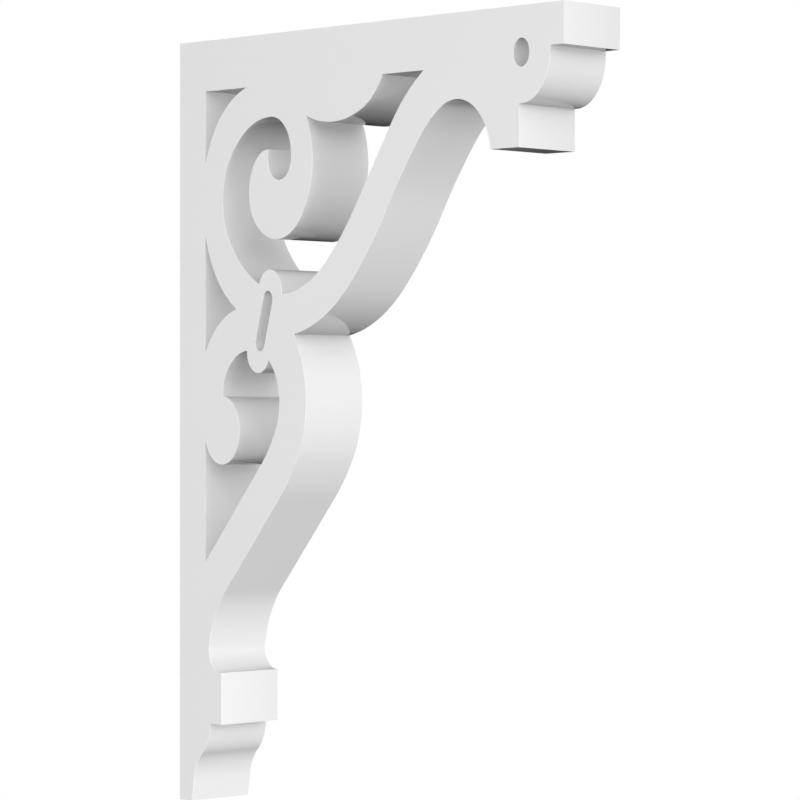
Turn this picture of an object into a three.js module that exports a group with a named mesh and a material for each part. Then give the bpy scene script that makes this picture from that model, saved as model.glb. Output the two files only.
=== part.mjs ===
// An open scroll bracket cut through one thick board of white PVC. Its back edge is fixed to a wall and
// its top edge comes under a beam or a soffit. X runs through the thickness, Y towards the wall and Z up,
// and the origin is the middle of the back edge.

import * as THREE from 'three';

const { degToRad, radToDeg } = THREE.MathUtils;

// Driving dimensions, in millimetres
const THICKNESS = 76;
const DEPTH = 510;
const HEIGHT = 750;

// The pattern is drawn with true arcs on a sheet of this size, which is then narrowed to the depth above.
// A place on it is a distance out from the wall and a height, counted down from the top edge.
const PATTERN_DEPTH = 680;
const PATTERN_HEIGHT = 750;

// A facet on a round stretch turns through no more than this, in degrees, and is no longer than this
const FACET_TURN = 3;
const FACET_LENGTH = 8;

// Straight members: the back and top rails, which are equally wide, the fascia at the front end and the
// drop behind it, the block low on the back rail, and the foot below the block
const RAIL = 50;
const FASCIA_BOTTOM = -38.5;
const DROP = { front: 607.5, back: 561, bottom: -127.7 };
const BLOCK = { front: 81, bottom: -672.5 };
const FOOT = { top: 59, toe: 24 };

// Round members: the ovolo under the fascia, which has a hole through its centre, and the slot through
// the bead that ties the two scrolls together
const OVOLO = { out: 611.3, height: -42.3, radius: 46.3 };
const HOLE_RADIUS = 12.9;
const SLOT = { top: [169, -257.2], bottom: [154.4, -298.3], radius: 8.6 };

// Headings and turns along the pattern, in degrees
const UP = 90;
const DOWN = -90;
const QUARTER_TURN = 90;
const HALF_TURN = 180;
const FULL_TURN = 360;

// Draws one outline as straight runs and arcs, keeping its place and its heading
class Pen {
  constructor(out, height) {
    this.points = [new THREE.Vector2(out, height)];
    this.heading = 0;
  }

  get place() {
    return this.points.at(-1);
  }

  lineTo(out, height) {
    this.points.push(new THREE.Vector2(out, height));
    return this;
  }

  ahead(length) {
    const angle = degToRad(this.heading);
    return this.lineTo(this.place.x + length * Math.cos(angle), this.place.y + length * Math.sin(angle));
  }

  // Draws arcs that pass smoothly into one another, each given by its radius and by the angle that it
  // turns through, to the left where that is positive. A curve with a heading leaves from a sharp corner.
  curve({ heading = this.heading, arcs }) {
    this.heading = heading;
    arcs.forEach(([radius, turn]) => this.arc(radius, turn));
    return this;
  }

  arc(radius, turn) {
    const start = degToRad(this.heading);
    const sweep = degToRad(turn);
    const arm = Math.sign(turn) * radius;
    const centreOut = this.place.x - arm * Math.sin(start);
    const centreHeight = this.place.y + arm * Math.cos(start);
    const facets = Math.ceil(Math.max(Math.abs(turn) / FACET_TURN, arm * sweep / FACET_LENGTH));
    for (let facet = 1; facet <= facets; facet += 1) {
      const angle = start + sweep * facet / facets;
      this.lineTo(centreOut + arm * Math.sin(angle), centreHeight - arm * Math.cos(angle));
    }
    this.heading += turn;
  }

  // Trims the last point onto the straight edge of a rail
  meetBackRail() {
    this.place.x = RAIL;
    return this;
  }

  meetTopRail() {
    this.place.y = -RAIL;
    return this;
  }
}

// The outside of the bracket, from the top of the wall edge round the front and down to the foot
function outerOutline() {
  const ovolo = { heading: DOWN, arcs: [[OVOLO.radius, -QUARTER_TURN]] };
  const arch = { heading: 100, arcs: [[58.5, 108], [144.5, 16.5]] };
  const strutUnderside = { arcs: [[610, 8], [460, -12.5], [198, -32]] };
  const belly = { heading: -50.5, arcs: [[101, -73.5], [209, -14]] };
  const bellyStraight = 136.5;
  const cavetto = { arcs: [[98.5, 36.5], [22, 101.5]] };
  const ogee = { heading: DOWN, arcs: [[37.5, -53.5], [42, 45.5]] };

  const pen = new Pen(0, 0)
    .lineTo(PATTERN_DEPTH, 0)
    .lineTo(PATTERN_DEPTH, FASCIA_BOTTOM)
    .lineTo(OVOLO.out + OVOLO.radius, FASCIA_BOTTOM)
    .lineTo(OVOLO.out + OVOLO.radius, OVOLO.height)
    .curve(ovolo)
    .lineTo(DROP.front, OVOLO.height - OVOLO.radius)
    .lineTo(DROP.front, DROP.bottom)
    .lineTo(DROP.back, DROP.bottom)
    .curve(arch)
    .curve(strutUnderside)
    .curve(belly)
    .ahead(bellyStraight)
    .curve(cavetto);
  const blockTop = pen.place.y;
  return pen
    .lineTo(BLOCK.front, blockTop)
    .lineTo(BLOCK.front, BLOCK.bottom)
    .lineTo(FOOT.top, BLOCK.bottom)
    .curve(ogee)
    .lineTo(FOOT.toe, -PATTERN_HEIGHT)
    .lineTo(0, -PATTERN_HEIGHT)
    .points;
}

// The three-sided opening in the corner between the rails, behind the upper scroll
function cornerOpening() {
  const scrollMeetsRail = 128.5;
  const scrollBack = { heading: 193.5, arcs: [[110.5, 57]] };
  return new Pen(RAIL, -RAIL)
    .lineTo(scrollMeetsRail, -RAIL)
    .curve(scrollBack)
    .meetBackRail()
    .points;
}

// The opening between the back rail and the backs of the two scrolls
function backOpening() {
  const scrollMeetsRail = -193;
  const upperScrollBack = { heading: -73.5, arcs: [[121, 45.5]] };
  const lowerScrollBack = { heading: 192.5, arcs: [[94.5, 45]] };
  return new Pen(RAIL, scrollMeetsRail)
    .curve(upperScrollBack)
    .curve(lowerScrollBack)
    .meetBackRail()
    .points;
}

// The large opening inside the upper scroll, which winds round the volute and into its eye
function scrollOpening() {
  const scallopMeetsRail = 377;
  const scallop = { heading: -122.5, arcs: [[78, -37], [146, -39.5]] };
  const volute = { heading: -58.5, arcs: [[80.5, -79], [58.5, -80], [43.5, -101], [33, -42.5]] };
  const eye = { heading: -108, arcs: [[37.5, 7.5], [21.5, 182]] };
  const channel = { arcs: [[37.5, 97.5], [96, 54.5], [66.5, 72.5], [127.5, 32.5]] };
  const beadTop = { heading: 68, arcs: [[22, -164.5]] };
  const strutBend = { heading: 2, arcs: [[139.5, 36.5], [372.5, 11.5]] };
  const strutStraight = 95.5;
  const strutHead = { arcs: [[205.5, -20.5]] };
  return new Pen(scallopMeetsRail, -RAIL)
    .curve(scallop)
    .curve(volute)
    .curve(eye)
    .curve(channel)
    .curve(beadTop)
    .curve(strutBend)
    .ahead(strutStraight)
    .curve(strutHead)
    .meetTopRail()
    .points;
}

// The opening inside the lower scroll, round its ball and down behind the belly
function lowerOpening() {
  const ballMeetsRail = -393.5;
  const ball = { heading: -73.5, arcs: [[33.5, 250]] };
  const scrollTop = { heading: 98, arcs: [[28, -36], [51.5, -59]] };
  const beadBottom = { heading: -92.5, arcs: [[21, 158]] };
  const strutBend = { heading: -36.5, arcs: [[51, -83.5], [150.5, -19]] };
  const strutStraight = 141.5;
  return new Pen(RAIL, ballMeetsRail)
    .curve(ball)
    .curve(scrollTop)
    .curve(beadBottom)
    .curve(strutBend)
    .ahead(strutStraight)
    .meetBackRail()
    .points;
}

// The slot through the bead, with round ends
function beadSlot() {
  const top = new THREE.Vector2(...SLOT.top);
  const along = top.clone().sub(new THREE.Vector2(...SLOT.bottom));
  const across = new THREE.Vector2(along.y, -along.x).setLength(SLOT.radius);
  const start = top.add(across);
  const roundEnd = { arcs: [[SLOT.radius, HALF_TURN]] };
  return new Pen(start.x, start.y)
    .curve({ heading: radToDeg(along.angle()), ...roundEnd })
    .ahead(along.length())
    .curve(roundEnd)
    .points;
}

// The round hole through the centre of the ovolo, without the last point, which only repeats the first
function ovoloHole() {
  const circle = { heading: UP, arcs: [[HOLE_RADIUS, FULL_TURN]] };
  return new Pen(OVOLO.out + HOLE_RADIUS, OVOLO.height).curve(circle).points.slice(0, -1);
}

// One board, cut to the outline, which a shape takes anticlockwise, and pierced by the openings
function bracket() {
  const board = new THREE.Shape(outerOutline().reverse());
  const openings = [cornerOpening, backOpening, scrollOpening, lowerOpening, beadSlot, ovoloHole];
  board.holes = openings.map((opening) => new THREE.Path(opening()));

  const geometry = new THREE.ExtrudeGeometry(board, { depth: THICKNESS, bevelEnabled: false });
  geometry.scale(DEPTH / PATTERN_DEPTH, HEIGHT / PATTERN_HEIGHT, 1);
  geometry.translate(0, HEIGHT / 2, -THICKNESS / 2);

  // The pattern's two directions become out from the wall and up, and the board's thickness follows
  const out = new THREE.Vector3(0, -1, 0);
  const up = new THREE.Vector3(0, 0, 1);
  const through = new THREE.Vector3().crossVectors(out, up);
  geometry.applyMatrix4(new THREE.Matrix4().makeBasis(out, up, through));

  const whitePvc = new THREE.MeshStandardMaterial({ color: 0xf2f2f0, roughness: 0.4, metalness: 0 });
  const mesh = new THREE.Mesh(geometry, whitePvc);
  mesh.name = 'bracket';
  return mesh;
}

const model = new THREE.Group();
model.add(bracket());

export default model;
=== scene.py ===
import math
from functools import partial

import bmesh
import bpy
from mathutils import Matrix, Vector


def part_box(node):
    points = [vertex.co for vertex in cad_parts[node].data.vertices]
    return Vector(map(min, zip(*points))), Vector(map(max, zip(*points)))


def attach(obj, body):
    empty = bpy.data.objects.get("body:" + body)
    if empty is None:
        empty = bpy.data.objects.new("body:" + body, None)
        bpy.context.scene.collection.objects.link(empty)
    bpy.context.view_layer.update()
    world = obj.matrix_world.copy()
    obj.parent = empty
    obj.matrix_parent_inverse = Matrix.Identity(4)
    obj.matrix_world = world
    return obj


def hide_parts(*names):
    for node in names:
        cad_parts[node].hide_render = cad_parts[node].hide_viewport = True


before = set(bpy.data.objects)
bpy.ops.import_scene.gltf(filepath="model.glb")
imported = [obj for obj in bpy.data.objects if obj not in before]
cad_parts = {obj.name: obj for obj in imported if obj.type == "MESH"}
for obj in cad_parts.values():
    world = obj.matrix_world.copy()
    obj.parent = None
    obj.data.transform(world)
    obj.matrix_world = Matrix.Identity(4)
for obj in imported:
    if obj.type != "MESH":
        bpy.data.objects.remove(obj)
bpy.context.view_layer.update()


# The bracket is one thick board of white PVC, routed right through to an open scroll pattern and fixed to a
# wall by its back edge. The two faces keep the smooth skin of the sheet, the cut edges have the same gloss
# with faint cutter marks left in them, and every arris is just broken.
NODE = "bracket"
ARRIS = 0.0003
ARRIS_FACETS = 3
CORNER_ANGLE = math.radians(12)
MERGE_DISTANCE = 1e-6
FACING = 0.9
SKIN_WHITE = (0.87, 0.87, 0.87, 1)
CLOUDED_WHITE = (0.845, 0.845, 0.845, 1)
CUT_WHITE = (0.85, 0.85, 0.85, 1)
CUT_COVER = 0.6
SKIN_ROUGHNESS = 0.1
CLOUDED_ROUGHNESS = 0.03
CUT_ROUGHNESS = 0.02
CLOUDING = {"Scale": 14, "Detail": 3}
PEEL = {"Scale": 260, "Detail": 2}
CUTTER_MARKS = {"Scale": 420, "Detail": 1}
RELIEF = 0.000003

low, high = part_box(NODE)
THICKNESS = high.x - low.x

# The board is made lying on a bench and is then stood up: the bench's two directions become out from the
# wall and up, and its thickness follows
OUT = (0, -1, 0)
UP = (0, 0, 1)
THROUGH = (-1, 0, 0)
STAND_UP = Matrix((OUT, UP, THROUGH)).transposed().to_4x4()

# The colour sockets of a Mix node share their names with its other sockets, so they are found by place
MIX_FIRST = 6
MIX_SECOND = 7
MIX_RESULT = 2


class Wire:
    """A wire from an output socket. A sum written with wires adds its Math nodes to their tree."""

    def __init__(self, socket):
        self.socket = socket

    @staticmethod
    def node(tree, kind, settings=None, sockets=None, output=0):
        """Adds a node, sets it up, fills its sockets with values or wires and gives the wire leaving it."""
        made = tree.nodes.new(kind)
        for name, value in (settings or {}).items():
            setattr(made, name, value)
        for name, value in (sockets or {}).items():
            for feed in value if isinstance(value, list) else [value]:
                if isinstance(feed, Wire):
                    tree.links.new(feed.socket, made.inputs[name])
                else:
                    made.inputs[name].default_value = feed
        return Wire(made.outputs[output]) if made.outputs else None

    def math(self, operation, *values):
        settings = {"operation": operation}
        return Wire.node(self.socket.id_data, "ShaderNodeMath", settings, dict(enumerate(values)))

    def __add__(self, other):
        return self.math("ADD", self, other)

    def __sub__(self, other):
        return self.math("SUBTRACT", self, other)

    def __rsub__(self, other):
        return self.math("SUBTRACT", other, self)

    def __mul__(self, other):
        return self.math("MULTIPLY", self, other)

    def __truediv__(self, other):
        return self.math("DIVIDE", self, other)

    def __rtruediv__(self, other):
        return self.math("DIVIDE", other, self)

    def __gt__(self, other):
        return self.math("GREATER_THAN", self, other)

    __radd__ = __add__
    __rmul__ = __mul__

    def sine(self):
        return self.math("SINE", self)

    def cosine(self):
        return self.math("COSINE", self)

    def sign(self):
        return self.math("SIGN", self)

    def size(self):
        return self.math("ABSOLUTE", self)

    def smaller(self, other):
        return self.math("MINIMUM", self, other)

    def colour(self, first, second):
        """The colour that runs from the first to the second as this wire runs from 0 to 1."""
        sockets = {"Factor": self, MIX_FIRST: first, MIX_SECOND: second}
        return Wire.node(self.socket.id_data, "ShaderNodeMix", {"data_type": "RGBA"}, sockets, MIX_RESULT)


def cut_lines(node):
    """The closed lines round the outside and the openings of the board's face, the board on their left."""
    board = bmesh.new()
    board.from_mesh(node.data)
    bmesh.ops.remove_doubles(board, verts=board.verts, dist=MERGE_DISTANCE)
    face = {triangle for triangle in board.faces if triangle.normal.dot(THROUGH) > FACING}
    following = {}
    for triangle in face:
        for corner in triangle.loops:
            if corner.link_loop_radial_next.face not in face:
                following[corner.vert] = corner.link_loop_next.vert
    lines = []
    while following:
        first, place = following.popitem()
        line = [first.co.copy()]
        while place is not first:
            line.append(place.co.copy())
            place = following.pop(place)
        lines.append(line)
    board.free()
    return lines


def bench_lines(lines):
    """The cut lines as one curve, lying on the bench."""
    curve = bpy.data.curves.new("cut_lines", "CURVE")
    curve.dimensions = "3D"
    lie_down = STAND_UP.inverted()
    for line in lines:
        spline = curve.splines.new("POLY")
        spline.points.add(len(line) - 1)
        spline.use_cyclic_u = True
        for point, place in zip(spline.points, line):
            point.co = (*(lie_down @ place).xy, 0, 1)
    return curve


def routed_board():
    """A tree that runs the profile of the board's edge along the cut lines and closes both faces."""
    tree = bpy.data.node_groups.new("routed_board", "GeometryNodeTree")
    add = partial(Wire.node, tree)
    kinds = {"Cut lines": "Geometry", "Thickness": "Float", "Arris": "Float", "Arris facets": "Int",
             "Finish": "Material"}
    for name, kind in kinds.items():
        tree.interface.new_socket(name, in_out="INPUT", socket_type=f"NodeSocket{kind}")
    tree.interface.new_socket("Board", in_out="OUTPUT", socket_type="NodeSocketGeometry")
    lines, thickness, arris, facets, finish = (add("NodeGroupInput", output=name) for name in kinds)
    lines = add("GeometryNodeSetCurveNormal", {"mode": "Z_UP"}, {"Curve": lines})

    # The edge's profile, from one face to the other: a quarter round, the straight cut and a quarter round
    last = 2 * facets + 1
    index = add("GeometryNodeInputIndex")
    turn = 0.5 * math.pi * index.smaller(last - index) / facets
    side = (0.5 * last - index).sign()
    outward = arris * (turn.sine() - 1)
    height = side * (0.5 * thickness - arris * (1 - turn.cosine()))
    place = add("ShaderNodeCombineXYZ", sockets={"X": outward, "Y": height})
    profile = add("GeometryNodeCurvePrimitiveLine")
    profile = add("GeometryNodeResampleCurve", sockets={"Curve": profile, "Count": last + 1})
    profile = add("GeometryNodeSetPosition", sockets={"Geometry": profile, "Position": place})
    edge = add("GeometryNodeCurveToMesh", sockets={"Curve": lines, "Profile Curve": profile})
    edge = add("GeometryNodeFlipFaces", sockets={"Mesh": edge})

    # One face inside the arris, and its twin turned over for the other side
    normal = add("GeometryNodeInputNormal")
    inward = add("ShaderNodeVectorMath", {"operation": "SCALE"}, {"Vector": normal, "Scale": -1 * arris})
    face_lines = add("GeometryNodeSetPosition", sockets={"Geometry": lines, "Offset": inward})
    face = add("GeometryNodeFillCurve", {"mode": "NGONS"}, {"Curve": face_lines})
    lift = add("ShaderNodeCombineXYZ", sockets={"Z": 0.5 * thickness})
    drop = add("ShaderNodeCombineXYZ", sockets={"Z": -0.5 * thickness})
    top = add("GeometryNodeTransform", sockets={"Geometry": face, "Translation": lift})
    bottom = add("GeometryNodeTransform", sockets={"Geometry": face, "Translation": drop})
    bottom = add("GeometryNodeFlipFaces", sockets={"Mesh": bottom})

    # Round stretches and arrises are shaded smooth, and the corners of the pattern stay sharp
    board = add("GeometryNodeJoinGeometry", sockets={"Geometry": [edge, top, bottom]})
    board = add("GeometryNodeMergeByDistance", sockets={"Geometry": board, "Distance": MERGE_DISTANCE})
    board = add("GeometryNodeSetShadeSmooth", {"domain": "FACE"}, {"Geometry": board, "Shade Smooth": True})
    corner = add("GeometryNodeInputMeshEdgeAngle") > CORNER_ANGLE
    sharp = {"Geometry": board, "Selection": corner, "Shade Smooth": False}
    board = add("GeometryNodeSetShadeSmooth", {"domain": "EDGE"}, sharp)
    board = add("GeometryNodeRealizeInstances", sockets={"Geometry": board})
    board = add("GeometryNodeSetMaterial", sockets={"Geometry": board, "Material": finish})
    add("NodeGroupOutput", sockets={"Board": board})
    return tree


def white_pvc():
    """Faintly clouded white skin on the two faces of the sheet, and fine cutter marks round the cut edges."""
    material = bpy.data.materials.new("white_pvc")
    material.use_nodes = True
    tree = material.node_tree
    tree.nodes.clear()
    add = partial(Wire.node, tree)
    place = add("ShaderNodeTexCoord", output="Object")
    across = add("ShaderNodeSeparateXYZ", sockets={"Vector": place}, output="X").size()
    skin = across > 0.5 * (THICKNESS - ARRIS)
    cut = 1 - skin

    clouding = add("ShaderNodeTexNoise", sockets={"Vector": place, **CLOUDING})
    peel = add("ShaderNodeTexNoise", sockets={"Vector": place, **PEEL})
    along_cut = add("ShaderNodeMapping", sockets={"Vector": place, "Scale": (0, 1, 1)})
    cutter_marks = add("ShaderNodeTexNoise", sockets={"Vector": along_cut, **CUTTER_MARKS})

    skin_colour = clouding.colour(SKIN_WHITE, CLOUDED_WHITE)
    cut_cover = cut * (CUT_COVER + (1 - CUT_COVER) * cutter_marks)
    colour = cut_cover.colour(skin_colour, CUT_WHITE)
    roughness = SKIN_ROUGHNESS + CLOUDED_ROUGHNESS * clouding + CUT_ROUGHNESS * cut * cutter_marks
    height = skin * peel + cut * cutter_marks
    relief = add("ShaderNodeBump", sockets={"Strength": 1, "Distance": RELIEF, "Height": height})
    finish = {"Base Color": colour, "Roughness": roughness, "Normal": relief}
    surface = add("ShaderNodeBsdfPrincipled", sockets=finish)
    add("ShaderNodeOutputMaterial", sockets={"Surface": surface})
    return material


stencil = bpy.data.objects.new("stencil", bench_lines(cut_lines(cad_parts[NODE])))
bpy.context.collection.objects.link(stencil)
routing = stencil.modifiers.new("routing", "NODES")
routing.node_group = routed_board()
settings = {"Thickness": THICKNESS, "Arris": ARRIS, "Arris facets": ARRIS_FACETS, "Finish": white_pvc()}
for socket in routing.node_group.interface.items_tree:
    if socket.name in settings:
        routing[socket.identifier] = settings[socket.name]
depsgraph = bpy.context.evaluated_depsgraph_get()
routed = stencil.evaluated_get(depsgraph)
board = bpy.data.meshes.new_from_object(routed, preserve_all_data_layers=True, depsgraph=depsgraph)
board.transform(STAND_UP)
board.materials.pop(index=0)  # an empty slot, which the tree leaves ahead of the finish
bpy.data.curves.remove(stencil.data)
bracket = bpy.data.objects.new("scroll_bracket", board)
bpy.context.collection.objects.link(bracket)
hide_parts(NODE)
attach(bracket, "root")


# The floor is a plain pale studio floor of fine screed, which fades into the white backdrop at its rim. It
# lies well below the bracket, as under one that is held on a wall.
FLOOR_DROP = 2.0
FLOOR_RADIUS = 12.0
FLOOR_SEGMENTS = 96
FLOOR_FADE = 3.0
FLOOR_PALE = (0.9, 0.9, 0.9, 1)
FLOOR_SHADE = (0.87, 0.87, 0.87, 1)
FLOOR_MOTTLE = {"Scale": 3}
FLOOR_ROUGHNESS = 0.6


def pale_screed():
    """Pale screed with a faint, broad mottle, which turns clear towards the rim."""
    material = bpy.data.materials.new("pale_screed")
    material.use_nodes = True
    tree = material.node_tree
    tree.nodes.clear()
    add = partial(Wire.node, tree)
    place = add("ShaderNodeTexCoord", output="Object")
    mottle = add("ShaderNodeTexNoise", sockets={"Vector": place, **FLOOR_MOTTLE})
    finish = {"Base Color": mottle.colour(FLOOR_PALE, FLOOR_SHADE), "Roughness": FLOOR_ROUGHNESS}
    surface = add("ShaderNodeBsdfPrincipled", sockets=finish)
    distance = add("ShaderNodeVectorMath", {"operation": "LENGTH"}, {0: place}, "Value")
    fade = {"Value": distance, "From Min": FLOOR_FADE, "From Max": FLOOR_RADIUS}
    rim = add("ShaderNodeMapRange", {"interpolation_type": "SMOOTHSTEP"}, fade)
    clear = add("ShaderNodeBsdfTransparent")
    faded = add("ShaderNodeMixShader", sockets={0: rim, 1: surface, 2: clear})
    add("ShaderNodeOutputMaterial", sockets={"Surface": faded})
    return material


disc = bmesh.new()
bmesh.ops.create_circle(disc, cap_ends=True, radius=FLOOR_RADIUS, segments=FLOOR_SEGMENTS)
floor_mesh = bpy.data.meshes.new("floor")
disc.to_mesh(floor_mesh)
disc.free()
floor_mesh.materials.append(pale_screed())
floor = bpy.data.objects.new("floor", floor_mesh)
floor.location.z = low.z - FLOOR_DROP
floor.visible_diffuse = False
floor.visible_glossy = False
floor.visible_shadow = False
bpy.context.collection.objects.link(floor)


# The light is plain and soft: a round lamp at the lens, which casts no shadow, its twin on the far side, a
# wide weak sun from low in front and a dome that is brightest at the horizon. None of it is mirrored in the
# gloss or passed on from one surface to the next, so undersides and deep corners keep their shade.
CAMERA_PLACE = Vector((-2.30363, -2.52492, 0.00681))
LAMP_RADIUS = 0.5
LAMP_POWER = 24.5
SUN_STRENGTH = 0.69
SUN_WIDTH = math.radians(20)
SUN_ELEVATION = math.radians(-40)
HORIZON_GLOW = 2.125
HORIZON_FADE = 0.2
WHITE_LIGHT = (1, 1, 1, 1)


def shine(name, data):
    """Puts a light in the scene, out of sight of the gloss."""
    light = bpy.data.objects.new(name, data)
    light.visible_glossy = False
    bpy.context.collection.objects.link(light)
    return light


def round_lamp(shadow):
    """A round lamp that lights near and far parts of the bracket alike, with or without a soft shadow."""
    data = bpy.data.lights.new("round_lamp", "POINT")
    data.shadow_soft_size = LAMP_RADIUS
    data.use_shadow = shadow
    data.energy = LAMP_POWER
    data.use_nodes = True
    data.node_tree.nodes.clear()
    add = partial(Wire.node, data.node_tree)
    even = add("ShaderNodeLightFalloff", sockets={"Strength": 1}, output="Constant")
    glow = add("ShaderNodeEmission", sockets={"Color": WHITE_LIGHT, "Strength": even})
    add("ShaderNodeOutputLight", sockets={"Surface": glow})
    return data


def low_sun():
    """A wide weak sun, as a pale floor throws light up."""
    data = bpy.data.lights.new("low_sun", "SUN")
    data.energy = SUN_STRENGTH
    data.angle = SUN_WIDTH
    return data


def dome():
    """Light from all round above the horizon, which the camera sees as a plain white backdrop."""
    world = bpy.data.worlds.new("dome")
    world.use_nodes = True
    tree = world.node_tree
    tree.nodes.clear()
    add = partial(Wire.node, tree)
    direction = add("ShaderNodeTexCoord", output="Generated")
    height = add("ShaderNodeSeparateXYZ", sockets={"Vector": direction}, output="Z")
    fade = {"Value": height, "From Min": 0, "From Max": HORIZON_FADE}
    above = add("ShaderNodeMapRange", {"interpolation_type": "SMOOTHSTEP"}, fade)
    strength = HORIZON_GLOW * above * (1 - height)
    glow = add("ShaderNodeBackground", sockets={"Color": WHITE_LIGHT, "Strength": strength})
    backdrop = add("ShaderNodeBackground", sockets={"Color": WHITE_LIGHT, "Strength": 1})
    seen = add("ShaderNodeLightPath", output="Is Camera Ray")
    both = add("ShaderNodeMixShader", sockets={0: seen, 1: glow, 2: backdrop})
    add("ShaderNodeOutputWorld", sockets={"Surface": both})
    return world


shine("lens_lamp", round_lamp(shadow=False)).location = CAMERA_PLACE
shine("far_lamp", round_lamp(shadow=True)).location = -CAMERA_PLACE
shine("low_sun", low_sun()).rotation_euler.x = math.radians(90) - SUN_ELEVATION
scene = bpy.context.scene
scene.world = dome()
scene.world.cycles_visibility.glossy = False
scene.cycles.diffuse_bounces = 0
scene.view_settings.view_transform = "Standard"


# The camera stands about three and a half metres off, level with the middle of the bracket and half way round
# from its front to its side, and has a long lens.
CAMERA_AZIMUTH = -45.596
CAMERA_ELEVATION = -0.243
CAMERA_LENS = 153.43
CAMERA_SENSOR = 36

camera_data = bpy.data.cameras.new("camera")
camera_data.lens = CAMERA_LENS
camera_data.sensor_width = CAMERA_SENSOR
camera = bpy.data.objects.new("camera", camera_data)
camera.location = CAMERA_PLACE
camera.rotation_euler = (math.radians(90 - CAMERA_ELEVATION), 0, math.radians(CAMERA_AZIMUTH))
bpy.context.collection.objects.link(camera)
scene.camera = camera
